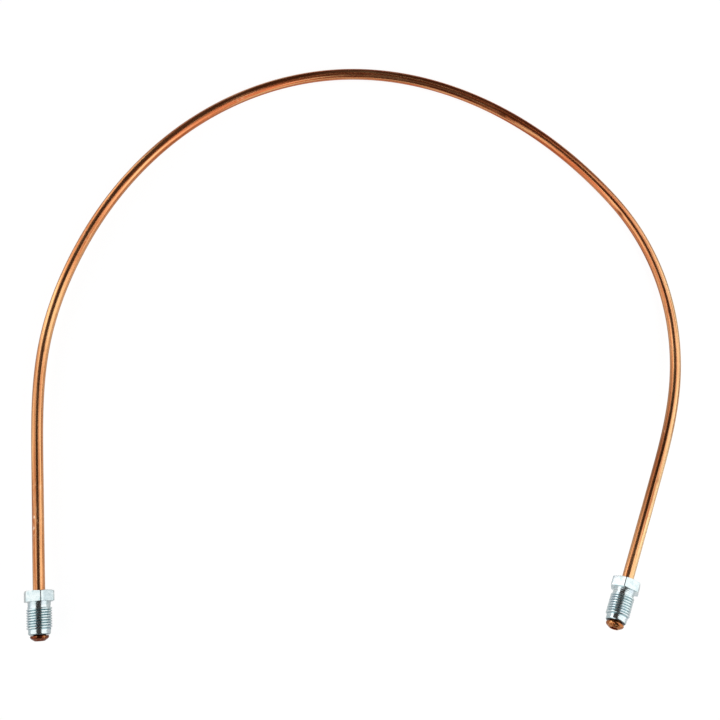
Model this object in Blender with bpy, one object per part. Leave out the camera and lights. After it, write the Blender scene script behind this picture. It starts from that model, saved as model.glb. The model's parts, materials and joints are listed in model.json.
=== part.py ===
"""Hard brake pipe bent to an open hoop, with a bubble flare and a loose tube nut at each end."""
import math

import bmesh
import bpy
from mathutils import Matrix, Vector

# Pipe: round section, wall as drawn for hydraulic brake pipe
PIPE_OUTER_DIAMETER = 0.00475
PIPE_WALL = 0.0007

# Course of the pipe's middle line from the left nose to the right nose. Both ends are
# straight. Between them lie the bent stretches, each with its length and the bend radius
# reached at its end; the bend tightens or eases evenly along a stretch. All of it lies in
# one plane but the right end, which climbs out of it evenly over the last two stretches.
LEFT_STRAIGHT = 0.0685
BENDS = (
    (0.0510, 0.1285),
    (0.0380, 0.1805),
    (0.1580, 0.1165),
    (0.1305, 0.1910),
    (0.0150, 0.0915),
    (0.0850, 0.1230),
)
LAST_EASING = 0.0465
RIGHT_STRAIGHT = 0.0630
RIGHT_RISE = math.radians(7)

# Bubble flare, formed from the pipe's own wall at both ends
FLARE_DIAMETER = 0.0073
FLARE_LENGTH = 0.0021
FLARE_FRONT_ROUNDING = 0.0011
FLARE_BACK_ROUNDING = 0.00035
NOSE_DIAMETER = 0.0043
NOSE_ROUNDING = 0.0003

# Male tube nuts with a plain pilot in front of the thread. The hexagons are alike; the left
# nut has a metric thread, 10 mm x 1 mm, the right one 3/8 inch with 24 turns to the inch.
HEX_ACROSS_FLATS = 0.011
HEX_HEIGHT = 0.0042
HEX_TOP_CIRCLE = 0.0108
HEX_CHAMFER_SLOPE = math.radians(20)
THREAD_TURNS = 10
THREAD_DEPTH_PER_PITCH = 0.61
CREST_FLAT_PER_PITCH = 1 / 8
ROOT_FLAT_PER_PITCH = 1 / 4
THREAD_START_TURNS = 0.3
THREAD_RISE_TURNS = 0.8
PILOT_CHAMFER = 0.0004
LEFT_THREAD_DIAMETER = 0.0098
LEFT_THREAD_PITCH = 0.001
LEFT_NECK_DIAMETER = 0.0089
LEFT_NECK_LENGTH = 0.00145
LEFT_PILOT_DIAMETER = 0.0086
LEFT_PILOT_LENGTH = 0.0013
RIGHT_THREAD_DIAMETER = 0.0095
RIGHT_THREAD_PITCH = 0.0254 / 24
RIGHT_NECK_DIAMETER = 0.0086
RIGHT_NECK_LENGTH = 0.0014
RIGHT_PILOT_DIAMETER = 0.0083
RIGHT_PILOT_LENGTH = 0.0016

# Clearances: nut bore round the pipe, nut end to the back of the flare
BORE_CLEARANCE = 0.0003
LEFT_NUT_GAP = 0.0003
RIGHT_NUT_GAP = 0.0006

# How far each nut is turned on its pipe from having one corner straight up
LEFT_NUT_TURN = math.radians(14)
RIGHT_NUT_TURN = math.radians(-22)

# Sides of the drawn circles and the spacing of the rings along the bends
PIPE_SIDES = 20
NUT_SIDES = 36
RING_SPACING = 0.0068

PIPE_RADIUS = PIPE_OUTER_DIAMETER / 2
PIPE_BORE_RADIUS = PIPE_RADIUS - PIPE_WALL
NUT_BORE_RADIUS = PIPE_RADIUS + BORE_CLEARANCE

# Shares of the thread's pitch from the middle of a crest to the middle of the next root
HALF_PITCH = 1 / 2
HALF_CREST = CREST_FLAT_PER_PITCH / 2
HALF_ROOT = ROOT_FLAT_PER_PITCH / 2
FLANK = HALF_PITCH - HALF_CREST - HALF_ROOT


def curvature_knots():
    """Distance along the pipe and curvature at each end of each stretch."""
    knots = [(0.0, 0.0), (LEFT_STRAIGHT, 0.0)]
    for length, radius in BENDS:
        knots.append((knots[-1][0] + length, -1.0 / radius))
    knots.append((knots[-1][0] + LAST_EASING, 0.0))
    knots.append((knots[-1][0] + RIGHT_STRAIGHT, 0.0))
    return knots


def direction(heading, rise):
    """Unit vector with this heading in the hoop's plane and this angle out of it."""
    flat = math.cos(rise)
    return Vector((math.cos(heading) * flat, math.sin(heading) * flat, math.sin(rise)))


def course():
    """Stations along the pipe as (point, heading, rise). The heading is the integral of the
    curvature, the point the integral of the direction, both by the midpoint rule."""
    substeps = 40
    knots = curvature_knots()
    climb_from = knots[-4][0]
    climb = knots[-2][0] - climb_from
    stations = [(Vector((0.0, 0.0, 0.0)), math.pi / 2, 0.0)]
    for (s0, k0), (s1, k1) in zip(knots, knots[1:]):
        straight = k0 == 0.0 and k1 == 0.0
        rings = 1 if straight else max(2, round((s1 - s0) / RING_SPACING))
        step = (s1 - s0) / (rings * substeps)
        point, start, _ = stations[-1]
        point = point.copy()

        def angles(t):
            heading = start + k0 * t + (k1 - k0) * t * t / (2 * (s1 - s0))
            return heading, RIGHT_RISE * min(1.0, max(0.0, (s0 + t - climb_from) / climb))

        for ring in range(rings):
            for sub in range(substeps):
                point += step * direction(*angles((ring * substeps + sub + 0.5) * step))
            stations.append((point.copy(), *angles((ring + 1) * substeps * step)))
    return stations


def frame_at(point, heading, rise):
    """Frame with +Y along the pipe, +X level across it and +Z out of the hoop's plane."""
    along = direction(heading, rise)
    across = Vector((math.sin(heading), -math.cos(heading), 0.0))
    turned = Matrix((across, along, across.cross(along))).transposed().to_4x4()
    return Matrix.Translation(point) @ turned


def arc(centre, radius, start, end, count):
    """Points (distance, radius) on a circular arc between two angles in degrees."""
    angles = [math.radians(start + (end - start) * i / count) for i in range(count + 1)]
    return [(centre[0] + radius * math.cos(a), centre[1] + radius * math.sin(a)) for a in angles]


def flare_profile():
    """Outline of the flare as (distance from the nose, radius), from the bore to the pipe: the
    rounded nose, the cone touching both roundings, the wide front rounding, the small back
    rounding and the flat back. Both rim roundings meet where the flare is widest."""
    widest = FLARE_LENGTH - FLARE_BACK_ROUNDING
    nose_centre = Vector((NOSE_ROUNDING, NOSE_DIAMETER / 2 - NOSE_ROUNDING))
    front_centre = Vector((widest, FLARE_DIAMETER / 2 - FLARE_FRONT_ROUNDING))
    back_centre = (widest, FLARE_DIAMETER / 2 - FLARE_BACK_ROUNDING)
    between = front_centre - nose_centre
    lean = math.acos((NOSE_ROUNDING - FLARE_FRONT_ROUNDING) / between.length)
    touching = math.degrees(math.atan2(between.y, between.x) + lean)
    outline = arc(nose_centre, NOSE_ROUNDING, 180, touching, 2)
    outline += arc(front_centre, FLARE_FRONT_ROUNDING, touching, 90, 4)
    outline += arc(back_centre, FLARE_BACK_ROUNDING, 90, 0, 2)[1:]
    outline.append((FLARE_LENGTH, PIPE_RADIUS))
    return outline


def add_ring(bm, matrix, distance, radius, sides):
    """Circle of vertices round the pipe's middle line."""
    ring = []
    for i in range(sides):
        a = 2 * math.pi * i / sides
        local = Vector((radius * math.cos(a), distance, radius * math.sin(a)))
        ring.append(bm.verts.new(matrix @ local))
    return ring


def join_rings(bm, first, second):
    """Band of quads between two circles with the same number of vertices."""
    count = len(first)
    for i in range(count):
        j = (i + 1) % count
        bm.faces.new((first[i], first[j], second[j], second[i]))


def make_object(name, bm, colour, metallic, roughness, smooth):
    """Closed mesh with outward faces and a material of its own."""
    bmesh.ops.recalc_face_normals(bm, faces=bm.faces)
    if bm.calc_volume(signed=True) < 0:
        bmesh.ops.reverse_faces(bm, faces=bm.faces)
    mesh = bpy.data.meshes.new(name)
    bm.to_mesh(mesh)
    bm.free()
    for face in mesh.polygons:
        face.use_smooth = smooth
    material = bpy.data.materials.new(name + "_surface")
    material.use_nodes = True
    shader = material.node_tree.nodes["Principled BSDF"]
    shader.inputs["Base Color"].default_value = (*colour, 1.0)
    shader.inputs["Metallic"].default_value = metallic
    shader.inputs["Roughness"].default_value = roughness
    mesh.materials.append(material)
    made = bpy.data.objects.new(name, mesh)
    bpy.context.scene.collection.objects.link(made)
    return made


def build_pipe():
    """Pipe wall as one closed skin: the outside with both flares, then back along the bore."""
    bm = bmesh.new()
    stations = course()
    outside = []
    inside = []
    start = frame_at(*stations[0])
    end = frame_at(*stations[-1])
    flare = flare_profile()
    for distance, radius in flare:
        outside.append(add_ring(bm, start, distance, radius, PIPE_SIDES))
    inside.append(add_ring(bm, start, 0.0, PIPE_BORE_RADIUS, PIPE_SIDES))
    for station in stations[1:-1]:
        here = frame_at(*station)
        outside.append(add_ring(bm, here, 0.0, PIPE_RADIUS, PIPE_SIDES))
        inside.append(add_ring(bm, here, 0.0, PIPE_BORE_RADIUS, PIPE_SIDES))
    for distance, radius in reversed(flare):
        outside.append(add_ring(bm, end, -distance, radius, PIPE_SIDES))
    inside.append(add_ring(bm, end, 0.0, PIPE_BORE_RADIUS, PIPE_SIDES))
    for skin in (outside, inside):
        for first, second in zip(skin, skin[1:]):
            join_rings(bm, first, second)
    join_rings(bm, outside[0], inside[0])
    join_rings(bm, outside[-1], inside[-1])
    return make_object("brake_pipe", bm, (0.72, 0.33, 0.14), 1.0, 0.25, True)


def hex_radius(angle):
    """Distance from the axis to the hexagon's outline, with corners at multiples of 60 degrees."""
    off = (angle % (math.pi / 3)) - math.pi / 6
    return HEX_ACROSS_FLATS / 2 / math.cos(off)


class TubeNut:
    """Sizes of one nut, from the pilot's end at 0 to the top of the hexagon at length."""

    def __init__(self, thread, pitch, neck, neck_length, pilot, pilot_length):
        self.crest = thread / 2
        self.pitch = pitch
        self.root = self.crest - THREAD_DEPTH_PER_PITCH * pitch
        self.neck = neck / 2
        self.pilot = pilot / 2
        self.thread_from = pilot_length
        self.thread_length = THREAD_TURNS * pitch
        self.thread_to = self.thread_from + self.thread_length
        self.neck_to = self.thread_to + neck_length
        self.length = self.neck_to + HEX_HEIGHT

    def thread_radius(self, phase, distance):
        """Thread section: crest flat at whole turns, root flat midway between, straight flanks.
        At both ends of the thread it starts as root and rises to its full height."""
        off = min(phase, 1 - phase)
        height = min(1.0, max(0.0, (HALF_PITCH - HALF_ROOT - off) / FLANK))
        from_end = min(distance, self.thread_length - distance) / self.pitch
        rise = min(1.0, max(0.0, (from_end - THREAD_START_TURNS) / THREAD_RISE_TURNS))
        return self.root + (self.crest - self.root) * height * rise


def build_nut(name, nut, matrix):
    """Nut with its axis along +Y of the matrix. The hexagon's first corner points to +Z."""
    bm = bmesh.new()

    def vertex(step, radius, distance):
        angle = 2 * math.pi * step / NUT_SIDES
        local = Vector((radius * math.sin(angle), distance, radius * math.cos(angle)))
        return bm.verts.new(matrix @ local)

    def ring(radius, distance):
        return [vertex(i, radius, distance) for i in range(NUT_SIDES)]

    front = [ring(NUT_BORE_RADIUS, 0.0), ring(nut.pilot - PILOT_CHAMFER, 0.0)]
    front += [ring(nut.pilot, PILOT_CHAMFER), ring(nut.pilot, nut.thread_from)]
    front.append(ring(nut.root, nut.thread_from))
    back = [ring(nut.root, nut.thread_to), ring(nut.neck, nut.thread_to)]
    back.append(ring(nut.neck, nut.neck_to))
    outline = [hex_radius(2 * math.pi * i / NUT_SIDES) for i in range(NUT_SIDES)]
    slope = math.tan(HEX_CHAMFER_SLOPE)
    drops = [(radius - HEX_TOP_CIRCLE / 2) * slope for radius in outline]
    back.append([vertex(i, outline[i], nut.neck_to) for i in range(NUT_SIDES)])
    back.append([vertex(i, outline[i], nut.length - drops[i]) for i in range(NUT_SIDES)])
    back += [ring(HEX_TOP_CIRCLE / 2, nut.length), ring(NUT_BORE_RADIUS, nut.length)]

    # Helical thread: four rows of vertices a turn, each climbing one pitch round the axis, so
    # the end of one row meets the start of the row one turn on
    phases = (HALF_CREST, HALF_PITCH - HALF_ROOT, HALF_PITCH + HALF_ROOT, 1 - HALF_CREST)
    turn = len(phases)
    rows = []
    for k in range(turn * (THREAD_TURNS - 1)):
        row = []
        for i in range(NUT_SIDES + 1):
            distance = (k // turn + phases[k % turn] + i / NUT_SIDES) * nut.pitch
            radius = nut.thread_radius(phases[k % turn], distance)
            if i < NUT_SIDES or k >= turn * (THREAD_TURNS - 2):
                row.append(vertex(i, radius, nut.thread_from + distance))
        rows.append(row)
    for k, row in enumerate(rows[:-turn]):
        row.append(rows[k + turn][0])
    for low, high in zip(rows, rows[1:]):
        for i in range(NUT_SIDES):
            bm.faces.new((low[i], low[i + 1], high[i + 1], high[i]))

    # The thread's two ends: a band to the plain circle, and the small step where it starts
    for circle, row in ((front[-1], rows[0]), (back[0], rows[-1])):
        for i in range(NUT_SIDES):
            bm.faces.new((circle[i], circle[(i + 1) % NUT_SIDES], row[i + 1], row[i]))
    first_step = [front[-1][0]] + [rows[k][0] for k in range(turn + 1)]
    last_step = [back[0][0]] + [row[-1] for row in reversed(rows[-turn:])] + [rows[-1][0]]
    for step in (first_step, last_step):
        hub = step[turn]
        for a, b in ((step[turn + 1], step[0]), (step[0], step[1]), (step[1], step[2])):
            bm.faces.new((hub, a, b))
        bm.faces.new((hub, step[2], step[3]))

    for stack in (front, back):
        for first, second in zip(stack, stack[1:]):
            join_rings(bm, first, second)
    join_rings(bm, back[-1], front[0])
    return make_object(name, bm, (0.78, 0.82, 0.85), 1.0, 0.3, False)


def lay_down(pieces):
    """Rest the pieces on the ground as one: of the flat sides of their convex hull that face
    down, the one nearest to the middle of the mass. Then the middle of the footprint goes to
    the origin."""
    hull = bmesh.new()
    middle = Vector((0.0, 0.0, 0.0))
    mass = 0.0
    for piece in pieces:
        for face in piece.data.polygons:
            middle += face.center * face.area
            mass += face.area
        for v in piece.data.vertices:
            hull.verts.new(v.co)
    middle /= mass
    points = [v.co.copy() for v in hull.verts]
    made = bmesh.ops.convex_hull(hull, input=hull.verts, use_existing_faces=False)
    down = None
    nearest = math.inf
    for face in (item for item in made["geom"] if isinstance(item, bmesh.types.BMFace)):
        face.normal_update()
        outward = face.normal.copy()
        if outward.dot(face.calc_center_median() - middle) < 0:
            outward.negate()
        height = outward.dot(face.calc_center_median() - middle)
        if outward.z < -0.9 and height < nearest:
            nearest = height
            down = outward
    hull.free()
    turn = down.rotation_difference(Vector((0, 0, -1))).to_matrix()
    points = [turn @ p for p in points]
    low = [min(p[axis] for p in points) for axis in range(3)]
    high = [max(p[axis] for p in points) for axis in range(3)]
    shift = Vector((-(low[0] + high[0]) / 2, -(low[1] + high[1]) / 2, -low[2]))
    whole = Matrix.Translation(shift) @ turn.to_4x4()
    for piece in pieces:
        piece.data.transform(whole)
        piece.data.update()
    return whole


for old in list(bpy.data.objects):
    bpy.data.objects.remove(old, do_unlink=True)

STATIONS = course()
LEFT_NOSE = frame_at(*STATIONS[0])
RIGHT_NOSE = frame_at(STATIONS[-1][0], STATIONS[-1][1] + math.pi, -STATIONS[-1][2])
LEFT_NUT = LEFT_NOSE @ Matrix.Translation((0, FLARE_LENGTH + LEFT_NUT_GAP, 0))
RIGHT_NUT = RIGHT_NOSE @ Matrix.Translation((0, FLARE_LENGTH + RIGHT_NUT_GAP, 0))
LEFT = TubeNut(
    LEFT_THREAD_DIAMETER, LEFT_THREAD_PITCH, LEFT_NECK_DIAMETER, LEFT_NECK_LENGTH,
    LEFT_PILOT_DIAMETER, LEFT_PILOT_LENGTH,
)
RIGHT = TubeNut(
    RIGHT_THREAD_DIAMETER, RIGHT_THREAD_PITCH, RIGHT_NECK_DIAMETER, RIGHT_NECK_LENGTH,
    RIGHT_PILOT_DIAMETER, RIGHT_PILOT_LENGTH,
)
PIECES = [
    build_pipe(),
    build_nut("tube_nut_left", LEFT, LEFT_NUT @ Matrix.Rotation(LEFT_NUT_TURN, 4, "Y")),
    build_nut("tube_nut_right", RIGHT, RIGHT_NUT @ Matrix.Rotation(RIGHT_NUT_TURN, 4, "Y")),
]
PLACED = lay_down(PIECES)
for side, nut, frame in (("left", LEFT, LEFT_NUT), ("right", RIGHT, RIGHT_NUT)):
    placed = PLACED @ frame
    centre = placed @ Vector((0, nut.length / 2, 0))
    axis = placed.to_3x3() @ Vector((0, 1, 0))
    print(f"{side} nut: middle of its axis {tuple(round(x, 6) for x in centre)}")
    print(f"{side} nut: axis direction {tuple(round(x, 6) for x in axis)}")
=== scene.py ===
"""Looks of the bent copper brake line with its two plated tube nuts."""
import json
import math

import bmesh
import bpy
import numpy as np
from mathutils import Matrix, Vector


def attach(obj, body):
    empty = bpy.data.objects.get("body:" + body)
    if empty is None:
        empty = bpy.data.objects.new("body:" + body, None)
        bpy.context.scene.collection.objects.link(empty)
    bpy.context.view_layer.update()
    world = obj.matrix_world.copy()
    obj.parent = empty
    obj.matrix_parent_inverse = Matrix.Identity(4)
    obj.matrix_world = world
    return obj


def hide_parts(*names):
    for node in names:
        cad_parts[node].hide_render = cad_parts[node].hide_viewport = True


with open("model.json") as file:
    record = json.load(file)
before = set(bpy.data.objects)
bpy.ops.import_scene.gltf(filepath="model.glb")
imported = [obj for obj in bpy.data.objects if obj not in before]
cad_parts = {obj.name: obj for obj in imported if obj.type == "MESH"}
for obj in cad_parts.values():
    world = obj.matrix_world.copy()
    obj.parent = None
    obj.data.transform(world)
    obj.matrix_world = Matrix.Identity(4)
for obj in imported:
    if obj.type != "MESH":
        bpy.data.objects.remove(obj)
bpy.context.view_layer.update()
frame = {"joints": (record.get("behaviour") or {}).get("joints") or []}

# The pipe's course. Copper tube, bent by hand over a former to an open hoop and left straight
# at both ends. The curvature changes evenly along each stretch, given as its length and the
# radius at its end. The right end climbs a little out of the hoop's plane.
LEFT_STRAIGHT = 0.0685
BENDS = (
    (0.0510, 0.1285),
    (0.0380, 0.1805),
    (0.1580, 0.1165),
    (0.1305, 0.1910),
    (0.0150, 0.0915),
    (0.0850, 0.1230),
)
LAST_EASING = 0.0465
RIGHT_STRAIGHT = 0.0630
RIGHT_RISE = math.radians(7)
LEFT_NOSE_TO_NUT = 0.010875
RIGHT_NOSE_TO_NUT = 0.011592
COURSE_STEPS = 12000

bend_lengths, bend_radii = np.array(BENDS).T
stretches = np.r_[LEFT_STRAIGHT, bend_lengths, LAST_EASING, RIGHT_STRAIGHT]
knots = np.r_[0.0, np.cumsum(stretches)]
curvatures = np.r_[0.0, 0.0, -1.0 / bend_radii, 0.0, 0.0]
last_bend_start = knots[-4]
right_straight_start = knots[-2]
pipe_length = knots[-1]


def running_sum(values, steps):
    """Integral by the trapezium rule: each step times the mean of the values at its ends."""
    middles = (values[1:] + values[:-1]) / 2
    return np.concatenate([values[:1] * 0, np.cumsum(middles * steps, axis=0)])


def course(at):
    """Points and level, forward and upright directions of the pipe's middle line at the given
    distances. Heading is the integral of curvature, place the integral of direction, and the
    rise grows evenly from the last bend's start to the right straight end."""
    fine = np.linspace(0.0, pipe_length, COURSE_STEPS + 1)
    steps = np.diff(fine)
    bend = np.interp(fine, knots, curvatures)
    heading = math.pi / 2 + running_sum(bend, steps)
    rise = np.interp(fine, [last_bend_start, right_straight_start], [0.0, RIGHT_RISE])
    flat = np.cos(rise)
    forward = np.stack([np.cos(heading) * flat, np.sin(heading) * flat, np.sin(rise)], 1)
    place = running_sum(forward, steps[:, None])
    level = np.stack([np.sin(heading), -np.cos(heading), heading * 0], 1)
    upright = np.cross(level, forward)
    columns = np.concatenate([place, level, forward, upright], 1)
    picked = np.stack([np.interp(at, fine, column) for column in columns.T], 1)
    return picked.reshape(-1, 4, 3)


def triad(axis, across):
    """Three square directions as rows: along the axis, square to it towards across, and the
    normal of both."""
    first = axis / np.linalg.norm(axis)
    third = np.cross(first, across)
    third /= np.linalg.norm(third)
    return np.stack([first, np.cross(third, first), third])


# The course is laid on the frame by its two nuts: the left nut's place and axis, and the
# direction from it to the right nut.
joint_of = {joint["child"]: joint for joint in frame["joints"]}
left_nose, right_nose = course([0.0, pipe_length])
left_seat = left_nose[0] + LEFT_NOSE_TO_NUT * left_nose[2]
right_seat = right_nose[0] - RIGHT_NOSE_TO_NUT * right_nose[2]
left_place = np.array(joint_of["left_nut"]["pos_m"])
right_place = np.array(joint_of["right_nut"]["pos_m"])
left_axis = np.array(joint_of["left_nut"]["axis"])
drawn = triad(left_nose[2], right_seat - left_seat)
laid = triad(left_axis, right_place - left_place)
turn_into_frame = laid.T @ drawn


def laid_course(at):
    """The course turned and moved to where the frame has it."""
    picked = course(at) @ turn_into_frame.T
    picked[:, 0] += left_place - turn_into_frame @ left_seat
    return picked


# The pipe's skin. One wall outside and in, drawn through a die: it swells at both ends into
# the bubble flare that a press forms from the pipe itself. Handling has left a few nicks and
# stains in it, the bright nicks with a painted glint, and stretches lighter or darker on one
# flank, partly from tarnish and polish and partly painted highlight and painted shade.
PIPE_RADIUS = 0.002375
BORE_RADIUS = 0.001675
FLARE_RADIUS = 0.00365
FLARE_LENGTH = 0.0021
FRONT_ROUNDING = 0.0011
BACK_ROUNDING = 0.00035
NOSE_RADIUS = 0.00215
NOSE_ROUNDING = 0.0003
MOUTH_ROUNDING = 0.00012
BACK_FILLET = 0.00022
PIPE_SIDES = 64
RING_SPACING = 0.0009
BORE_RING_SPACING = 0.006
PIPE_SHARP_DEGREES = 50
SIDE_CONTRAST = 1.5

# Nicks and stains: distance along the pipe, angle from the upright side towards the level
# side in degrees, length, width, depth, and how the colour changes there, from 1 for a dark
# stain to -1 for metal scratched bright, whose pale colour is partly bare metal and partly a
# painted glint. The long one is a dull streak within the right leg.
NICKS = (
    (0.0397, 20, 0.0005, 0.00025, 0.00004, -0.5),
    (0.0439, -38, 0.0005, 0.00025, 0.00008, -0.9),
    (0.0481, -33, 0.0004, 0.00025, 0.00009, -0.9),
    (0.0600, 34, 0.0010, 0.0004, 0.00004, -0.3),
    (0.1170, 12, 0.0010, 0.0006, 0.00006, 0.3),
    (0.2010, -8, 0.0016, 0.0006, 0.00004, 0.5),
    (0.3900, 38, 0.0020, 0.0007, 0.00009, 0.7),
    (0.3945, 30, 0.0016, 0.0005, 0.00005, 0.4),
    (0.4595, 60, 0.0016, 0.0005, 0.00009, 1.0),
    (0.5105, 30, 0.0012, 0.0005, 0.00005, 0.4),
    (0.5740, 46, 0.0260, 0.0013, 0.0, 0.65),
    (0.5900, -14, 0.0009, 0.0005, 0.00005, 0.4),
)

# Stretches lighter or darker on one flank, partly tarnish and polish and partly painted
# highlight and painted shade: middle and half length along the pipe, 1 for the side within the
# hoop and -1 for the outer side, and strength, from 1 for tarnished and shaded to -1 for
# polished and highlit
STRETCHES = (
    (0.030, 0.070, -1, 0.30),
    (0.120, 0.060, -1, 0.20),
    (0.330, 0.070, -1, 0.35),
    (0.190, 0.040, -1, 0.60),
    (0.580, 0.055, 1, 1.00),
    (0.610, 0.085, -1, -1.00),
    (0.500, 0.050, -1, -0.60),
)


def arc(centre, radius, start, end, count):
    """Points on a circular arc between two angles in degrees."""
    angles = np.radians(np.linspace(start, end, count))
    across = centre[0] + radius * np.cos(angles)
    up = centre[1] + radius * np.sin(angles)
    return np.stack([across, up], 1)


def flare_outline():
    """Distance from the nose and radius: rounded mouth, rounded nose, the cone touching nose
    and front rounding, the wide front rounding and the small back rounding, which meet where
    the flare is widest, and the fillet from the flare's back to the pipe."""
    widest = FLARE_LENGTH - BACK_ROUNDING
    nose = np.array([NOSE_ROUNDING, NOSE_RADIUS - NOSE_ROUNDING])
    front = np.array([widest, FLARE_RADIUS - FRONT_ROUNDING])
    lean = math.acos((NOSE_ROUNDING - FRONT_ROUNDING) / np.linalg.norm(front - nose))
    touching = math.degrees(math.atan2(*(front - nose)[::-1]) + lean)
    mouth = (MOUTH_ROUNDING, BORE_RADIUS + MOUTH_ROUNDING)
    fillet = (FLARE_LENGTH + BACK_FILLET, PIPE_RADIUS + BACK_FILLET)
    return np.concatenate([
        arc(mouth, MOUTH_ROUNDING, 270, 180, 5),
        arc(nose, NOSE_ROUNDING, 180, touching, 6),
        arc(front, FRONT_ROUNDING, touching, 90, 12),
        arc((widest, FLARE_RADIUS - BACK_ROUNDING), BACK_ROUNDING, 90, 0, 8)[1:],
        arc(fillet, BACK_FILLET, 180, 270, 6),
    ])


def ring_faces(rows, columns):
    """Quads of a grid that closes both ways: the last column joins the first, and the last
    row the first row."""
    row = np.arange(rows)[:, None]
    column = np.arange(columns)[None, :]
    ahead = (column + 1) % columns
    above = (row + 1) % rows
    corners = np.broadcast_arrays(
        row * columns + column,
        row * columns + ahead,
        above * columns + ahead,
        above * columns + column,
    )
    return np.stack(corners, -1).reshape(-1, 4)


def finished_mesh(name, points, faces, weld, sharp_degrees):
    """Mesh object from arrays, welded where grids meet, with faces outward and edges sharper
    than the given angle kept crisp."""
    mesh = bpy.data.meshes.new(name)
    mesh.from_pydata(points.tolist(), [], faces.tolist())
    made = bmesh.new()
    made.from_mesh(mesh)
    if weld:
        bmesh.ops.remove_doubles(made, verts=made.verts, dist=weld)
        bmesh.ops.dissolve_degenerate(made, edges=made.edges, dist=weld)
    bmesh.ops.recalc_face_normals(made, faces=made.faces)
    if made.calc_volume(signed=True) < 0:
        bmesh.ops.reverse_faces(made, faces=made.faces)
    made.to_mesh(mesh)
    made.free()
    mesh.shade_smooth()
    mesh.set_sharp_from_angle(angle=math.radians(sharp_degrees))
    piece = bpy.data.objects.new(name, mesh)
    bpy.context.scene.collection.objects.link(piece)
    return piece


def point_vectors(piece, name, values):
    """Three numbers for each vertex, which the material reads by this name."""
    attribute = piece.data.attributes.new(name, "FLOAT_VECTOR", "POINT")
    attribute.data.foreach_set("vector", values.astype(np.float32).ravel())


def point_values(piece, name, values):
    """One number for each vertex, which the material reads by this name."""
    attribute = piece.data.attributes.new(name, "FLOAT", "POINT")
    attribute.data.foreach_set("value", values.astype(np.float32).ravel())


def pipe_skin():
    """Surface of two parameters. The first runs from the left mouth along the outside to the
    right mouth and back along the bore; the second runs round the pipe. Each point is the
    middle line's point plus the radius times the turning direction. A nick lowers the radius
    by a bell curve of the distance from its middle."""
    flare = flare_outline()
    left_wall = flare[-1, 0]
    count = round((pipe_length - 2 * left_wall) / RING_SPACING)
    wall = np.linspace(left_wall, pipe_length - left_wall, count + 1)[1:-1]
    bore_count = round(pipe_length / BORE_RING_SPACING)
    bore = np.linspace(pipe_length - MOUTH_ROUNDING, MOUTH_ROUNDING, bore_count)[1:-1]
    distance = np.r_[flare[:, 0], wall, pipe_length - flare[::-1, 0], bore]
    radius = np.r_[flare[:, 1], wall * 0 + PIPE_RADIUS, flare[::-1, 1], bore * 0 + BORE_RADIUS]
    outside = (radius >= PIPE_RADIUS)[:, None]
    angle = np.linspace(0, 2 * math.pi, PIPE_SIDES, endpoint=False)
    radii = np.repeat(radius[:, None], PIPE_SIDES, axis=1)
    worn_and_glint = radii * 0
    for along, degrees, length, width, depth, stain in NICKS:
        round_way = np.angle(np.exp(1j * (angle - math.radians(degrees)))) * PIPE_RADIUS
        spread = ((distance - along) / length)[:, None] ** 2 + (round_way / width)[None, :] ** 2
        radii = radii - depth * np.exp(-spread) * outside
        worn_and_glint = worn_and_glint + stain * np.exp(-spread / 2) * outside
    aged_and_lit = radii * 0
    # Stretches lighter or darker on one flank: partly tarnish and polish, partly painted light
    for middle, half_length, side, strength in STRETCHES:
        near = np.exp(-((distance - middle) / half_length) ** 2)[:, None]
        facing = np.clip(0.5 + SIDE_CONTRAST * side * np.sin(angle), 0, 1)[None, :]
        aged_and_lit = aged_and_lit + strength * near * facing
    stations = laid_course(distance)
    place, level, _, upright = (stations[:, k, None, :] for k in range(4))
    sideways = radii * np.sin(angle)
    up = radii * np.cos(angle)
    points = place + level * sideways[..., None] + upright * up[..., None]
    straight = np.stack([np.broadcast_to(distance[:, None], radii.shape), sideways, up], -1)
    faces = ring_faces(len(distance), PIPE_SIDES)
    piece = finished_mesh("drawn_pipe", points.reshape(-1, 3), faces, 0, PIPE_SHARP_DEGREES)
    point_vectors(piece, "straight", straight.reshape(-1, 3))
    point_values(piece, "worn_and_glint", worn_and_glint)
    point_values(piece, "aged_and_lit", aged_and_lit)
    return piece


def metal(name, metallic):
    """New material of bare metal, with its node tree and its shader."""
    material = bpy.data.materials.new(name)
    material.use_nodes = True
    shader = material.node_tree.nodes["Principled BSDF"]
    shader.inputs["Metallic"].default_value = metallic
    return material, material.node_tree, shader


def add_node(tree, kind, settings=None, **inputs):
    """Adds a shader node. Inputs are named with underscores for spaces, or input_N by number.
    A socket is linked, and any other value is set."""
    made = tree.nodes.new("ShaderNode" + kind)
    for key, value in (settings or {}).items():
        setattr(made, key, value)
    for key, value in inputs.items():
        place = int(key[6:]) if key.startswith("input_") else key.replace("_", " ")
        if isinstance(value, bpy.types.NodeSocket):
            tree.links.new(value, made.inputs[place])
        else:
            made.inputs[place].default_value = value
    return made


def attribute_of(tree, name, output="Fac"):
    """Number, or with output Vector the three numbers, that the piece's vertices carry."""
    return add_node(tree, "Attribute", {"attribute_name": name}).outputs[output]


def math_node(tree, operation, first, second=0.0):
    """One arithmetic step on two values or sockets."""
    made = add_node(tree, "Math", {"operation": operation}, input_0=first, input_1=second)
    return made.outputs[0]


def band(tree, value, low, high, out_low=0.0, out_high=1.0):
    """Clamped straight ramp from low..high to out_low..out_high."""
    limits = {"From_Min": low, "From_Max": high, "To_Min": out_low, "To_Max": out_high}
    return add_node(tree, "MapRange", None, Value=value, **limits).outputs["Result"]


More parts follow.
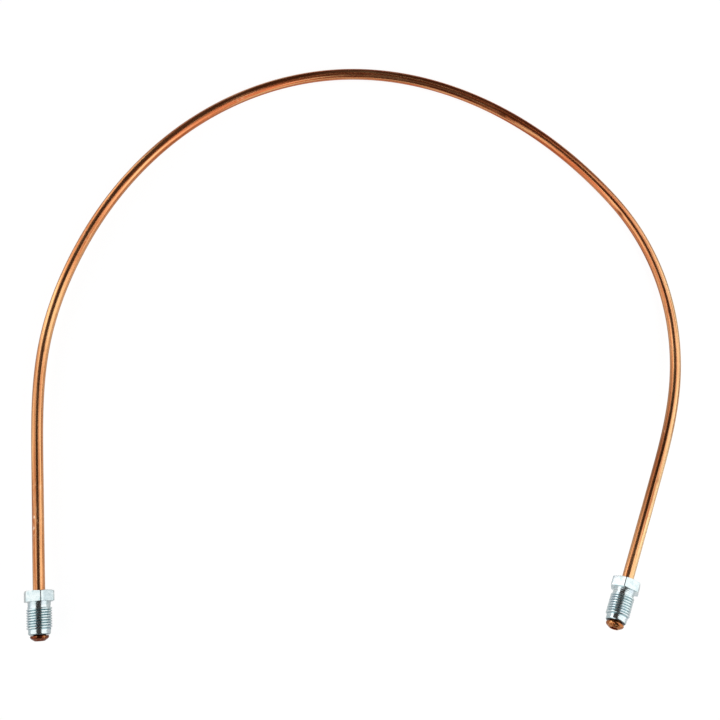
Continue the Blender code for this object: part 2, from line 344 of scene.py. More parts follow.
def stretched_noise(tree, vector, scale, detail, rotation=(0, 0, 0)):
    """Noise on coordinates in metres, with its own number of grains a metre on each axis."""
    mapped = add_node(tree, "Mapping", None, Vector=vector, Scale=scale, Rotation=rotation)
    made = add_node(tree, "TexNoise", None, Vector=mapped.outputs[0], Scale=1.0, Detail=detail)
    return made.outputs["Fac"]


def blended(tree, factor, first, second):
    """Mix of two colours."""
    made = add_node(
        tree, "Mix", {"data_type": "RGBA"}, input_0=factor, input_6=first, input_7=second
    )
    return made.outputs[2]


def laid_over(tree, mask, share, colour, tone):
    """Colour with a tone over it where the mask is, at the given share of full strength."""
    return blended(tree, math_node(tree, "MULTIPLY", mask, share), colour, tone)


# Fine hair scratches that hands and other metal leave, on the pipe and on the nuts: grains a
# metre and slant of the scratches that lean left and right, and grains a metre of the rubbed
# patches that they show in
LEFT_HAIRS = (500, 5200, 900)
LEFT_SLANT = math.radians(38)
RIGHT_HAIRS = (450, 4600, 900)
RIGHT_SLANT = math.radians(-47)
RUBBED_PATCHES = (70, 260, 260)


def marks_group():
    """Handling marks for any metal: fine hair scratches in two slanting directions, where the
    rub mask lets them show. Gives the mask and the height for a bump."""
    group = bpy.data.node_groups.new("Handling marks", "ShaderNodeTree")
    sockets = group.interface
    sockets.new_socket("Vector", in_out="INPUT", socket_type="NodeSocketVector")
    sockets.new_socket("Rubbed share", in_out="INPUT", socket_type="NodeSocketFloat")
    sockets.new_socket("Marks", in_out="OUTPUT", socket_type="NodeSocketFloat")
    sockets.new_socket("Height", in_out="OUTPUT", socket_type="NodeSocketFloat")
    given = group.nodes.new("NodeGroupInput")
    vector = given.outputs["Vector"]
    left = stretched_noise(group, vector, LEFT_HAIRS, 2.0, (0, 0, LEFT_SLANT))
    right = stretched_noise(group, vector, RIGHT_HAIRS, 2.0, (0, 0, RIGHT_SLANT))
    left = band(group, left, 0.60, 0.70)
    right = band(group, right, 0.62, 0.72)
    hairs = math_node(group, "MAXIMUM", left, right)
    rub = stretched_noise(group, vector, RUBBED_PATCHES, 2.0)
    rub = band(group, math_node(group, "ADD", rub, given.outputs["Rubbed share"]), 0.95, 1.15)
    marks = math_node(group, "MULTIPLY", hairs, rub)
    gone = group.nodes.new("NodeGroupOutput")
    group.links.new(marks, gone.inputs["Marks"])
    group.links.new(math_node(group, "MULTIPLY", marks, -1.0), gone.inputs["Height"])
    return group


handling_marks = marks_group()

# The copper's finish. Bright gold-orange on both legs, redder and browner over the crown,
# darkest at the flares and just behind them, partly from the press and partly painted shade,
# with painted glints on the flares. The die has left fine lines along it.
LEFT_LEG_COPPER = (0.86, 0.400, 0.175, 1)
CROWN_COPPER = (0.75, 0.160, 0.056, 1)
RIGHT_LEG_COPPER = (0.93, 0.440, 0.200, 1)
# Darker and lighter stretches: partly tarnish and polish, partly painted shade and highlight
TARNISHED_SHADED_COPPER = (0.38, 0.160, 0.060, 1)
POLISHED_HIGHLIT_COPPER = (1.0, 0.740, 0.400, 1)
DULL_COPPER = (0.52, 0.180, 0.055, 1)
FRECKLE = (0.42, 0.135, 0.042, 1)
DARK_DIE_LINE = (0.40, 0.105, 0.028, 1)
BRIGHT_DIE_LINE = (1.0, 0.560, 0.255, 1)
# Flares: partly darkened by the press, partly painted shade; the glint colour is a painted
# highlight
LEFT_PRESSED_SHADED_COPPER = (0.16, 0.024, 0.006, 1)
RIGHT_PRESSED_SHADED_COPPER = (0.44, 0.140, 0.044, 1)
PAINTED_GLINT = (1.0, 0.55, 0.22, 1)
COPPER_SCRATCH = (0.98, 0.70, 0.42, 1)
STAINED_COPPER = (0.20, 0.035, 0.010, 1)
# Pale colour of the bright nicks: partly bare metal, partly a painted glint
BARE_COPPER_GLINT = (1.0, 0.86, 0.66, 1)
TARNISH_AND_SHADE_SHARE = 0.85
POLISH_AND_HIGHLIGHT_SHARE = 0.95
DULL_SHARE = 0.35
FRECKLE_SHARE = 0.45
DARK_LINE_SHARE = 0.82
BRIGHT_LINE_SHARE = 0.85
PRESSED_AND_SHADE_SHARE = 0.95
LEFT_PAINTED_GLINT_SHARE = 0.35
RIGHT_PAINTED_GLINT_SHARE = 0.9
COPPER_SCRATCH_SHARE = 0.7
STAIN_SHARE = 0.9
CROWN_COMES = (0.12, 0.30)
CROWN_GOES = (0.42, 0.56)
# Distance from each end where the flares' pressed darkening and painted shade end and are full
PRESSED_AND_SHADED_TO = 0.0040
FULLY_PRESSED_AND_SHADED_TO = 0.0030
RUBBED_AT = 0.052
RUBBED_LENGTH = 0.016
RUBBED_EXTRA = 0.35
RUBBED_EVERYWHERE = 0.42
COPPER_METALLIC = 0.93
COPPER_ROUGHNESS = (0.20, 0.29)
PRESSED_SMOOTHER = 0.13
COPPER_RELIEF = 0.00008
COPPER_RELIEF_STRENGTH = 0.6
SCRATCH_HEIGHT = 0.25
DIMPLE_HEIGHT = 2.2

# Grains a metre of the copper's noises, along the pipe and across it
DULL_PATCHES = (55, 420, 420)
FRECKLES = (1100, 1900, 1900)
DIE_LINES = (26, 1700, 1700)
PRESS_DIMPLES = (1250, 1250, 1250)
ROUGH_PATCHES = (90, 700, 700)


def rubbed_share(tree, straight):
    """How far handling marks show along the pipe: a little everywhere, and plainly on the outer
    side of the left straight end, which has rubbed against something."""
    part = add_node(tree, "SeparateXYZ", None, Vector=straight)
    away = math_node(tree, "ABSOLUTE", math_node(tree, "SUBTRACT", part.outputs["X"], RUBBED_AT))
    near = band(tree, away, RUBBED_LENGTH, RUBBED_LENGTH / 2)
    outer = band(tree, part.outputs["Y"], 0.0, -PIPE_RADIUS / 3)
    extra = math_node(tree, "MULTIPLY", math_node(tree, "MULTIPLY", near, outer), RUBBED_EXTRA)
    return math_node(tree, "ADD", extra, RUBBED_EVERYWHERE)


def copper():
    """Bright drawn copper: gold-orange, browner where it has dulled, with lines of the die
    along the pipe and slanting rub marks. The flares and the pipe just behind them are darker,
    partly from the press and partly painted shade, with painted glints on the flares."""
    material, tree, shader = metal("drawn_copper", COPPER_METALLIC)
    straight = attribute_of(tree, "straight", "Vector")
    along = add_node(tree, "SeparateXYZ", None, Vector=straight).outputs["X"]

    dull = band(tree, stretched_noise(tree, straight, DULL_PATCHES, 4.0), 0.36, 0.66)
    colour = blended(tree, band(tree, along, *CROWN_COMES), LEFT_LEG_COPPER, CROWN_COPPER)
    colour = blended(tree, band(tree, along, *CROWN_GOES), colour, RIGHT_LEG_COPPER)
    # Stretches: partly tarnish and polish, partly painted shade and painted highlight
    aged_and_lit = attribute_of(tree, "aged_and_lit")
    tarnished_and_shaded = band(tree, aged_and_lit, 0.0, 1.0, 0.0, TARNISH_AND_SHADE_SHARE)
    colour = blended(tree, tarnished_and_shaded, colour, TARNISHED_SHADED_COPPER)
    polished_and_highlit = band(tree, aged_and_lit, 0.0, -1.0, 0.0, POLISH_AND_HIGHLIGHT_SHARE)
    colour = blended(tree, polished_and_highlit, colour, POLISHED_HIGHLIT_COPPER)
    colour = laid_over(tree, dull, DULL_SHARE, colour, DULL_COPPER)
    freckles = band(tree, stretched_noise(tree, straight, FRECKLES, 3.0), 0.54, 0.70)
    colour = laid_over(tree, freckles, FRECKLE_SHARE, colour, FRECKLE)
    lines = stretched_noise(tree, straight, DIE_LINES, 3.0)
    dark_lines = band(tree, lines, 0.35, 0.49, DARK_LINE_SHARE, 0.0)
    colour = blended(tree, dark_lines, colour, DARK_DIE_LINE)
    bright_lines = band(tree, lines, 0.51, 0.65, 0.0, BRIGHT_LINE_SHARE)
    colour = blended(tree, bright_lines, colour, BRIGHT_DIE_LINE)

    # Flares and the pipe just behind them: partly the press's darkening, partly painted shade
    from_right = math_node(tree, "SUBTRACT", pipe_length, along)
    from_end = math_node(tree, "MINIMUM", along, from_right)
    pressed_and_shaded = band(tree, from_end, PRESSED_AND_SHADED_TO, FULLY_PRESSED_AND_SHADED_TO)
    right_end = band(tree, along, pipe_length * 0.45, pipe_length * 0.55)
    pressed_and_shaded_copper = blended(tree, right_end, LEFT_PRESSED_SHADED_COPPER, RIGHT_PRESSED_SHADED_COPPER)
    colour = laid_over(tree, pressed_and_shaded, PRESSED_AND_SHADE_SHARE, colour, pressed_and_shaded_copper)
    # Painted glints on the flares, stronger on the right one
    dimples = stretched_noise(tree, straight, PRESS_DIMPLES, 2.0)
    painted_glints = math_node(tree, "MULTIPLY", band(tree, dimples, 0.56, 0.68), pressed_and_shaded)
    painted_glint_share = band(tree, right_end, 0.0, 1.0, LEFT_PAINTED_GLINT_SHARE, RIGHT_PAINTED_GLINT_SHARE)
    colour = laid_over(tree, painted_glints, painted_glint_share, colour, PAINTED_GLINT)

    marks = add_node(
        tree, "Group", {"node_tree": handling_marks},
        Vector=straight, Rubbed_share=rubbed_share(tree, straight),
    )
    scratches = marks.outputs["Marks"]
    colour = laid_over(tree, scratches, COPPER_SCRATCH_SHARE, colour, COPPER_SCRATCH)
    worn_and_glint = attribute_of(tree, "worn_and_glint")
    stained = band(tree, worn_and_glint, 0.1, 1.0, 0.0, STAIN_SHARE)
    colour = blended(tree, stained, colour, STAINED_COPPER)
    # Bright nicks: partly bare metal, partly a painted glint
    colour = blended(tree, band(tree, worn_and_glint, -0.1, -1.0), colour, BARE_COPPER_GLINT)
    tree.links.new(colour, shader.inputs["Base Color"])

    rough = stretched_noise(tree, straight, ROUGH_PATCHES, 3.0)
    rough = band(tree, rough, 0.3, 0.7, *COPPER_ROUGHNESS)
    smoother = math_node(tree, "MULTIPLY", pressed_and_shaded, PRESSED_SMOOTHER)
    rough = math_node(tree, "SUBTRACT", rough, smoother)
    tree.links.new(rough, shader.inputs["Roughness"])

    cut = math_node(tree, "MULTIPLY", marks.outputs["Height"], SCRATCH_HEIGHT)
    height = math_node(tree, "ADD", lines, cut)
    dimpled = math_node(tree, "MULTIPLY", pressed_and_shaded, DIMPLE_HEIGHT)
    height = math_node(tree, "ADD", height, math_node(tree, "MULTIPLY", dimples, dimpled))
    relief = add_node(
        tree, "Bump", None,
        Strength=COPPER_RELIEF_STRENGTH, Distance=COPPER_RELIEF, Height=height,
    )
    tree.links.new(relief.outputs["Normal"], shader.inputs["Normal"])
    return material


pipe = pipe_skin()
pipe.data.materials.append(copper())
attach(pipe, "pipe")
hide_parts("brake_pipe")

# The tube nuts. Cold-formed steel, one on each straight end, loose behind its flare: hexagon
# with a chamfered top, plain neck with turned lines, rolled thread and a plain pilot that
# presses on the flare. They are zinc plated, bright and a little blue. The threads differ.
HEX_APOTHEM = 0.0055
HEX_CORNER_ROUNDING = 0.0007
HEX_HEIGHT = 0.0042
HEX_TOP_RADIUS = 0.0054
HEX_CHAMFER_SLOPE = math.radians(20)
NUT_BORE_RADIUS = 0.002675
PILOT_CHAMFER = 0.0004
LINE_WIDTH = 0.00026
LINE_DEPTH = 0.00007
LINE_MARGIN = 0.75
THREAD_TURNS = 10
THREAD_DEPTH_PER_PITCH = 0.61
CREST_FLAT = 0.38
ROOT_FLAT = 0.05
THREAD_FADE_TURNS = 0.7
FLAT_COLUMNS = 12
CORNER_COLUMNS = 5
NUT_WELD = 2e-7
NUT_SHARP_DEGREES = 40

# Roundings of the nut's edges, from the bore's front to the hexagon's top
NUT_BORE_ROUNDING = 0.0002
PILOT_ROUNDING = 0.00015
PILOT_BACK_ROUNDING = 0.00001
THREAD_ROUNDING = 0.00006
NECK_ROUNDING = 0.00003
NECK_FILLET = 0.00025
HEX_EDGE_ROUNDING = 0.00012
HEX_SHOULDER_ROUNDING = 0.00018
HEX_TOP_ROUNDING = 0.0003

# Grime and painted shade in the thread's roots start this many pitches from the pilot and
# from the neck, and are full after so many more. The bore, up to this many times its radius,
# and the pilot's front count as shaded and get painted shade.
SHADE_AND_GRIME_FROM_PILOT = 0.4
SHADE_AND_GRIME_FADE_AT_PILOT = 0.3
SHADE_AND_GRIME_FROM_NECK = 0.9
SHADE_AND_GRIME_FADE_AT_NECK = 0.5
BORE_SKIN_TO = 1.01
SHADED = 1.5

# The duller flat: angle of its middle round the nut, half its width and the fade at its sides
# in degrees, and the share of the apothem that tells the hexagon's skin from the rest
DULL_FLAT_AT = 30.0
DULL_REACH = 26.0
DULL_FADE = 8.0
HEX_SKIN_FROM = 0.97


def nut_columns():
    """Angles round the nut from 0 to a full turn, close together at the hexagon's corners."""
    reach = (HEX_APOTHEM - HEX_CORNER_ROUNDING) * math.tan(math.pi / 6)
    corner = math.pi / 6 - math.atan(reach / HEX_APOTHEM)
    across_corner = np.linspace(-corner, corner, CORNER_COLUMNS + 1)[1:]
    across_flat = np.linspace(corner, math.pi / 3 - corner, FLAT_COLUMNS + 1)[1:]
    sector = np.r_[across_corner, across_flat] + corner
    whole = (np.arange(6)[:, None] * math.pi / 3 + sector).ravel() - corner
    return np.r_[-corner, whole]


def hexagon(angle):
    """Radius of the hexagon's outline with rounded corners: on a flat the apothem over the
    cosine, and near a corner the far side of the corner's circle."""
    off_corner = (angle + math.pi / 6) % (math.pi / 3) - math.pi / 6
    flat = HEX_APOTHEM / np.cos(math.pi / 6 - np.abs(off_corner))
    centre = (HEX_APOTHEM - HEX_CORNER_ROUNDING) / math.cos(math.pi / 6)
    inside = HEX_CORNER_ROUNDING ** 2 - (centre * np.sin(off_corner)) ** 2
    round_corner = centre * np.cos(off_corner) + np.sqrt(np.maximum(inside, 0))
    return np.where(inside > 0, np.minimum(flat, round_corner), flat)


def rounded(corners, radii, steps=5):
    """Outlines with each inner corner replaced by an arc that touches both of its sides. The
    corners are an array of (corner, column, distance and radius)."""
    parts = [corners[:1]]
    for before, corner, after, radius in zip(corners, corners[1:], corners[2:], radii):
        back = before - corner
        ahead = after - corner
        back /= np.linalg.norm(back, axis=-1, keepdims=True)
        ahead /= np.linalg.norm(ahead, axis=-1, keepdims=True)
        half = np.arccos(np.clip((back * ahead).sum(-1, keepdims=True), -1, 1)) / 2
        touch = radius / np.tan(half)
        middle = back + ahead
        middle *= radius / np.sin(half) / np.linalg.norm(middle, axis=-1, keepdims=True)
        first = back * touch - middle
        last = ahead * touch - middle
        sweep = math.pi - 2 * half
        share = np.linspace(0, 1, steps)[:, None, None]
        swung = np.sin((1 - share) * sweep) * first + np.sin(share * sweep) * last
        parts.append(corner + middle + swung / np.sin(sweep))
    parts.append(corners[-1:])
    return np.concatenate(parts)


def carried_round(outline, radii, angle):
    """Surface of two parameters: an outline of distance and radius, its corners rounded, is
    carried round the axis. A radius may change with the angle, as the hexagon's does."""
    ones = np.ones_like(angle)
    corners = [np.stack([distance * ones, radius * ones], -1) for distance, radius in outline]
    return rounded(np.stack(corners), radii)


def thread_strip(angle, pitch, start, root, depth):
    """Surface of two parameters, and its angles: the section of one thread, with its crest and
    root rounded, travels round the axis and climbs a pitch each turn. On the first and the
    last turn its width shrinks to the plain circles, and its height fades in and out."""
    half_root = ROOT_FLAT * pitch / 2
    half_crest = CREST_FLAT * pitch / 2
    corners = np.array([
        (0, 0), (half_root, 0), (pitch / 2 - half_crest, depth),
        (pitch / 2 + half_crest, depth), (pitch - half_root, 0), (pitch, 0),
    ])
    section = rounded(corners[:, None, :], (THREAD_ROUNDING,) * 4, 4)[:, 0]
    turns = np.arange(-1, THREAD_TURNS)
    travel = (turns[:, None] + (angle[:-1] - angle[0])[None, :] / (2 * math.pi)).ravel()
    travel = np.r_[travel, THREAD_TURNS]
    width = np.clip(np.minimum(travel + 1, THREAD_TURNS - travel), 0, 1)[:, None]
    climb = np.clip(travel, 0, THREAD_TURNS - 1)[:, None] * pitch
    from_front = section[:, 0] * width
    from_back = pitch - (pitch - section[:, 0]) * width
    distance = climb + np.where((travel > THREAD_TURNS - 1)[:, None], from_back, from_front)
    into_thread = np.minimum(travel, THREAD_TURNS - 1 - travel) / THREAD_FADE_TURNS
    fade = np.clip(into_thread, 0, 1)[:, None]
    height = section[:, 1] * fade * fade * (3 - 2 * fade)
    strip = np.stack([start + distance, root + height], -1)
    return strip.transpose(1, 0, 2), angle[0] + travel * 2 * math.pi


def sheet_faces(rows, columns):
    """Quads of an open grid."""
    row = np.arange(rows - 1)[:, None]
    column = np.arange(columns - 1)[None, :]
    first = row * columns + column
    corners = [first, first + 1, first + columns + 1, first + columns]
    return np.stack(corners, -1).reshape(-1, 4)


def tube_nut(
    name, body, side, thread, pitch, neck, neck_length, neck_lines, pilot, pilot_length, turn, dull
):
    """Closed skin from three surfaces of two parameters, welded at their shared circles: the
    bore's front with the pilot, the thread, and the neck with its turned lines, the hexagon
    and the bore's back. Thread, neck and pilot are diameters, side is 1 where the nose is the
    course's start and -1 where it is its end, turn is the nut's angle about the pipe, and
    dull is how much duller one flat is than the others, from 0 to 1."""
    crest = thread / 2
    root = crest - THREAD_DEPTH_PER_PITCH * pitch
    depth = crest - root
    thread_to = pilot_length + THREAD_TURNS * pitch
    neck_to = thread_to + neck_length
    length = neck_to + HEX_HEIGHT
    angle = nut_columns()
    outline = hexagon(angle)
    shoulder = length - (outline - HEX_TOP_RADIUS) * math.tan(HEX_CHAMFER_SLOPE)

    front = carried_round(
        (
            (length / 2, NUT_BORE_RADIUS),
            (0.0, NUT_BORE_RADIUS),
            (0.0, pilot / 2 - PILOT_CHAMFER),
            (PILOT_CHAMFER, pilot / 2),
            (pilot_length, pilot / 2),
            (pilot_length, root),
        ),
        (NUT_BORE_ROUNDING, PILOT_ROUNDING, PILOT_ROUNDING, PILOT_BACK_ROUNDING),
        angle,
    )
    strip, strip_angle = thread_strip(angle, pitch, pilot_length, root, depth)

    line_spacings = neck_lines - 1 + 2 * LINE_MARGIN
    turned_lines = []
    for k in range(neck_lines):
        at = thread_to + neck_length * (k + LINE_MARGIN) / line_spacings
        turned_lines += [
            (at - LINE_WIDTH / 2, neck / 2),
            (at, neck / 2 - LINE_DEPTH),
            (at + LINE_WIDTH / 2, neck / 2),
        ]
    back = carried_round(
        (
            (thread_to, root),
            (thread_to, neck / 2),
            *turned_lines,
            (neck_to, neck / 2),
            (neck_to, outline),
            (shoulder, outline),
            (length, HEX_TOP_RADIUS),
            (length, NUT_BORE_RADIUS),
            (length / 2, NUT_BORE_RADIUS),
        ),
        (
            *(NECK_ROUNDING,) * (1 + len(turned_lines)),
            NECK_FILLET,
            HEX_EDGE_ROUNDING,
            HEX_SHOULDER_ROUNDING,
            HEX_TOP_ROUNDING,
            NUT_BORE_ROUNDING,
        ),
        angle,
    )

    stations = laid_course([0.0, pipe_length])
    nose = stations[0] if side > 0 else stations[1]
    along = nose[2] * side
    across = nose[1] * side
    upright = nose[3]
    start = np.array(joint_of[body]["pos_m"]) - along * length / 2

    points = []
    faces = []
    total = 0
    for grid, angles in ((front, angle), (strip, strip_angle), (back, angle)):
        distance, radius = grid[..., 0, None], grid[..., 1, None]
        swing = (angles[None, :] + turn)[..., None]
        sideways = across * radius * np.sin(swing)
        up = upright * radius * np.cos(swing)
        points.append((start + along * distance + sideways + up).reshape(-1, 3))
        faces.append(sheet_faces(*grid.shape[:2]) + total)
        total += grid.shape[0] * grid.shape[1]
    points = np.concatenate(points)
    faces = np.concatenate(faces)
    piece = finished_mesh(name, points, faces, NUT_WELD, NUT_SHARP_DEGREES)

    co = np.empty(len(piece.data.vertices) * 3, np.float32)
    piece.data.vertices.foreach_get("co", co)
    local = (co.reshape(-1, 3) - start) @ np.stack([along, across, upright], 1)
    point_vectors(piece, "turned", local)
    distance = local[:, 0]
    radius = np.linalg.norm(local[:, 1:], axis=1)
    # Grime with painted shade in the thread's roots, painted shade in the bore and pilot's front
    past_pilot = (distance - pilot_length) / pitch - SHADE_AND_GRIME_FROM_PILOT
    before_neck = (thread_to - distance) / pitch - SHADE_AND_GRIME_FROM_NECK
    full = np.minimum(past_pilot / SHADE_AND_GRIME_FADE_AT_PILOT, before_neck / SHADE_AND_GRIME_FADE_AT_NECK)
    grime_and_shade = np.clip(full, 0, 1) * np.clip((crest - radius) / depth, 0, 1)
    in_bore = radius < NUT_BORE_RADIUS * BORE_SKIN_TO
    on_front = (distance < PILOT_CHAMFER / 3) & (radius < pilot / 2 - PILOT_CHAMFER / 2)
    point_values(piece, "grime_and_shade", np.where(in_bore | on_front, SHADED, grime_and_shade))
    round_way = np.degrees(np.arctan2(local[:, 1], local[:, 2]) - turn)
    off_flat = np.abs(round_way - DULL_FLAT_AT)
    on_flat = np.clip((DULL_REACH - off_flat) / DULL_FADE, 0, 1)
    point_values(piece, "dulled", dull * on_flat * (radius > HEX_APOTHEM * HEX_SKIN_FROM))
    return piece


# The plating's finish. Pale and a little blue, clouded where the crystals differ.
PALE_ZINC = (0.76, 0.836, 0.842, 1)
CLOUDED_ZINC = (0.56, 0.69, 0.715, 1)
VIOLET_ZINC = (0.60, 0.66, 0.82, 1)
DULL_ZINC = (0.53, 0.625, 0.65, 1)
# The thread's colour is grime with painted shade; the bore's colour is painted shade
THREAD_GRIME_AND_SHADE = (0.16, 0.33, 0.37, 1)
BORE_SHADE = (0.05, 0.06, 0.06, 1)
ZINC_SCRATCH = (0.95, 0.96, 0.97, 1)
SHEEN_SHARE = 0.30
DULL_FLAT_SHARES = (0.55, 1.0)
GRIME_AND_SHADE_SHARE = 0.70
ZINC_SCRATCH_SHARE = 0.25
ZINC_METALLIC = 1.0
ZINC_ROUGHNESS = (0.19, 0.25)
ZINC_RUBBED = 0.45
GRIME_ROUGHER = 0.08
ZINC_RELIEF = 0.00002
ZINC_RELIEF_STRENGTH = 0.06

# Grains a metre of the plating's noises, along the nut and across it
ZINC_CLOUDS = (700, 700, 700)
SHEEN_PATCHES = (160, 260, 260)
DULL_FLAT_PATCHES = (900, 900, 900)
PLATING_GRAIN = (3800, 3800, 3800)


def zinc():
    """Bright zinc plating: pale, a little blue, clouded where the crystals differ, duller in
    patches on one flat, with grime and painted shade in the thread's roots, painted shade in
    the bore and on the pilot's front, and fine marks of handling."""
    material, tree, shader = metal("zinc_plating", ZINC_METALLIC)
    turned = attribute_of(tree, "turned", "Vector")
    grime_and_shade = attribute_of(tree, "grime_and_shade")

    clouds = band(tree, stretched_noise(tree, turned, ZINC_CLOUDS, 4.0), 0.44, 0.68)
    colour = blended(tree, clouds, PALE_ZINC, CLOUDED_ZINC)
    sheen = band(tree, stretched_noise(tree, turned, SHEEN_PATCHES, 2.0), 0.50, 0.72)
    colour = laid_over(tree, sheen, SHEEN_SHARE, colour, VIOLET_ZINC)
    dulled = attribute_of(tree, "dulled")
    patches = stretched_noise(tree, turned, DULL_FLAT_PATCHES, 3.0)
    patches = band(tree, patches, 0.36, 0.62, *DULL_FLAT_SHARES)
    colour = laid_over(tree, dulled, patches, colour, DULL_ZINC)
    # Painted shade with grime in the thread's roots, then painted shade in the bore and pilot's
    # front
    painted_shade_and_grime = band(tree, grime_and_shade, 0.50, 0.95, 0.0, GRIME_AND_SHADE_SHARE)
    colour = blended(tree, painted_shade_and_grime, colour, THREAD_GRIME_AND_SHADE)
    colour = blended(tree, band(tree, grime_and_shade, 1.0, 1.4), colour, BORE_SHADE)
    marks = add_node(
        tree, "Group", {"node_tree": handling_marks}, Vector=turned, Rubbed_share=ZINC_RUBBED
    )
    scratches = marks.outputs["Marks"]
    colour = laid_over(tree, scratches, ZINC_SCRATCH_SHARE, colour, ZINC_SCRATCH)
    tree.links.new(colour, shader.inputs["Base Color"])

    rough = band(tree, clouds, 0.0, 1.0, *ZINC_ROUGHNESS)
    rougher = math_node(tree, "MULTIPLY", grime_and_shade, GRIME_ROUGHER)
    tree.links.new(math_node(tree, "ADD", rough, rougher), shader.inputs["Roughness"])

    grain = stretched_noise(tree, turned, PLATING_GRAIN, 2.0)
    height = math_node(tree, "ADD", grain, marks.outputs["Height"])
    relief = add_node(
        tree, "Bump", None,
        Strength=ZINC_RELIEF_STRENGTH, Distance=ZINC_RELIEF, Height=height,
    )
    tree.links.new(relief.outputs["Normal"], shader.inputs["Normal"])
    return material


plating = zinc()
left_nut = tube_nut(
    "left_tube_nut", "left_nut", side=1,
    thread=0.0098, pitch=0.001,
    neck=0.0089, neck_length=0.00145, neck_lines=3,
    pilot=0.0086, pilot_length=0.0013,
    turn=math.radians(14), dull=1.0,
)
right_nut = tube_nut(
    "right_tube_nut", "right_nut", side=-1,
    thread=0.0095, pitch=0.0254 / 24,
    neck=0.0086, neck_length=0.0014, neck_lines=1,
    pilot=0.0083, pilot_length=0.0016,
    turn=math.radians(-22), dull=0.0,
)
for nut, body, node in (
    (left_nut, "left_nut", "tube_nut_left"),
    (right_nut, "right_nut", "tube_nut_right"),
):
    nut.data.materials.append(plating)
    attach(nut, body)
    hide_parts(node)

# The floor. A plain pale table top, which the lens sees as white but for the line's own soft
# shadow, and which the metal mirrors at the level the lamps give it.
FLOOR_HALF_WIDTH = 3.0
FLOOR_DROP = 0.00005
SHADOW_SHARE = 0.16
FLOOR_WHITE = 1.12
MIRRORED_SHARE = 0.36
PAPER = 0.90
PAPER_ROUGHNESS = 0.9
PAPER_SPECULAR = 0.0

floor_mesh = bpy.data.meshes.new("table_top")
table_corners = [
    (x * FLOOR_HALF_WIDTH, y * FLOOR_HALF_WIDTH, -FLOOR_DROP)
    for x, y in ((-1, -1), (1, -1), (1, 1), (-1, 1))
]
floor_mesh.from_pydata(table_corners, [], [(0, 1, 2, 3)])
floor = bpy.data.objects.new("table_top", floor_mesh)
bpy.context.scene.collection.objects.link(floor)
floor_material = bpy.data.materials.new("pale_table")
floor_material.use_nodes = True
table_tree = floor_material.node_tree
paper = table_tree.nodes["Principled BSDF"]
paper.inputs["Base Color"].default_value = (PAPER, PAPER, PAPER, 1)
paper.inputs["Roughness"].default_value = PAPER_ROUGHNESS
paper.inputs["Specular IOR Level"].default_value = PAPER_SPECULAR
rays = add_node(table_tree, "LightPath").outputs
seen = rays["Is Camera Ray"]
mirrored = math_node(table_tree, "MAXIMUM", rays["Is Glossy Ray"], rays["Is Transmission Ray"])
strength = math_node(table_tree, "MULTIPLY", seen, FLOOR_WHITE - 1)
strength = math_node(table_tree, "ADD", strength, 1.0)
glow = add_node(table_tree, "Emission", None, Color=(1, 1, 1, 1), Strength=strength)
share = math_node(table_tree, "MULTIPLY", seen, 1 - SHADOW_SHARE)
mirrored_share = math_node(table_tree, "MULTIPLY", mirrored, MIRRORED_SHARE)
share = math_node(table_tree, "ADD", share, mirrored_share)
mixed = add_node(
    table_tree, "MixShader", None,
    input_0=share, input_1=paper.outputs[0], input_2=glow.outputs[0],
)
table_tree.links.new(mixed.outputs[0], table_tree.nodes["Material Output"].inputs["Surface"])
floor_mesh.materials.append(floor_material)

# The light. Two large soft white panels stand low to the right and left of the line and lean
# in over its open end, and a small dimmer one stands low and far behind the left, all in a
# dim room, so that the metal shows bright flanks and a dark streak between them.
ROOM_LEVEL = 0.046
ROOM_TINT = (1.0, 0.80, 0.73)
LAMP_TINT = (1.0, 1.01, 1.01)


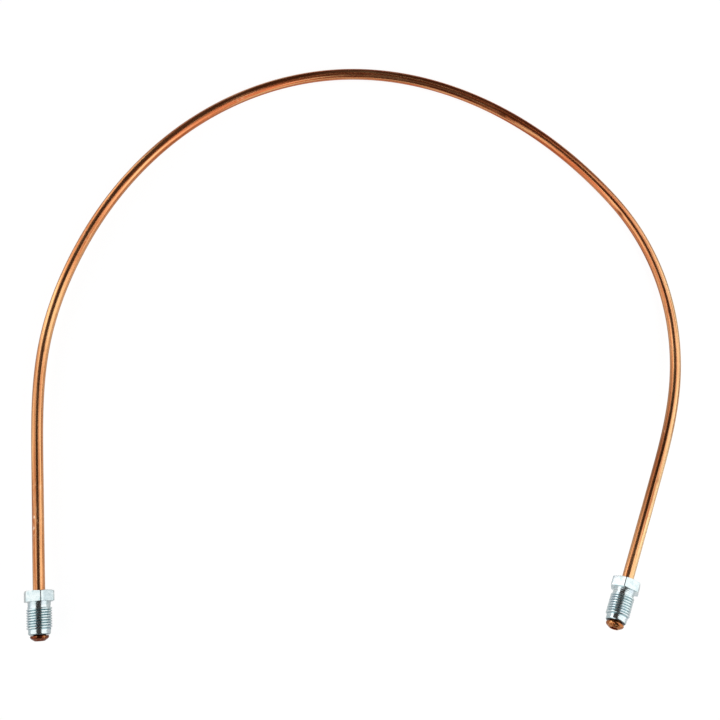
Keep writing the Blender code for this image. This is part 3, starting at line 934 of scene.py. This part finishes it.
def panel(name, centre, aim, roll, width, height, radiance):
    """Soft rectangular lamp that faces the point aim on the table. Its width runs up the slope
    of the panel, square to the y direction, and its height square to that, before the roll
    about the aiming line in degrees. A lamp of area A that gives off radiance L all over
    gives off pi times A times L."""
    light = bpy.data.lights.new(name, "AREA")
    light.shape = "RECTANGLE"
    light.size = width
    light.size_y = height
    light.color = LAMP_TINT
    light.energy = math.pi * width * height * radiance
    lamp = bpy.data.objects.new(name, light)
    bpy.context.scene.collection.objects.link(lamp)
    centre = Vector(centre)
    facing = (Vector((*aim, 0)) - centre).normalized()
    slope = Vector((0, 1, 0)).cross(facing).normalized()
    across = facing.cross(slope)
    turn = math.radians(roll)
    wide = slope * math.cos(turn) + across * math.sin(turn)
    high = facing.cross(wide)
    axes = Matrix((wide, -high, -facing)).transposed().to_4x4()
    lamp.matrix_world = Matrix.Translation(centre) @ axes
    lamp.visible_camera = False


panel(
    "right_panel", centre=(0.379, -0.490, 0.269), aim=(-0.285, -0.539), roll=-8.5,
    width=0.620, height=1.520, radiance=1.22,
)
panel(
    "left_panel", centre=(-0.625, -0.302, 0.206), aim=(0.535, -0.587), roll=-33.6,
    width=1.176, height=1.682, radiance=1.15,
)
panel(
    "back_left_panel", centre=(-0.600, 0.540, 0.190), aim=(0.100, -0.120), roll=0.0,
    width=0.460, height=0.550, radiance=0.70,
)

room = bpy.data.worlds.new("studio_room")
room.use_nodes = True
bpy.context.scene.world = room
room_tree = room.node_tree
backdrop = room_tree.nodes["Background"]
rays = add_node(room_tree, "LightPath").outputs
clear = math_node(room_tree, "MAXIMUM", rays["Is Camera Ray"], rays["Is Transmission Ray"])
dim = math_node(room_tree, "MULTIPLY", rays["Is Glossy Ray"], ROOM_LEVEL)
brightness = math_node(room_tree, "MAXIMUM", clear, dim)
tint = blended(room_tree, clear, (*ROOM_TINT, 1), (1, 1, 1, 1))
room_tree.links.new(tint, backdrop.inputs["Color"])
room_tree.links.new(brightness, backdrop.inputs["Strength"])

# The camera. A short telephoto above the open end of the hoop, looking down on it.
EYE = Vector((-0.0674, -0.1281, 0.5063))
LOOK = Vector((0.12773, 0.2309, -0.96456))
PICTURE_UP = Vector((0.046, 0.9701, 0.2383))
FOCAL_LENGTH_MM = 61.25
SENSOR_WIDTH_MM = 36.0

lens = bpy.data.cameras.new("camera")
lens.lens = FOCAL_LENGTH_MM
lens.sensor_width = SENSOR_WIDTH_MM
camera = bpy.data.objects.new("camera", lens)
bpy.context.scene.collection.objects.link(camera)
right = LOOK.cross(PICTURE_UP).normalized()
camera_axes = Matrix((right, right.cross(LOOK), -LOOK)).transposed().to_4x4()
camera.matrix_world = Matrix.Translation(EYE) @ camera_axes
bpy.context.scene.camera = camera
bpy.context.scene.view_settings.view_transform = "Standard"
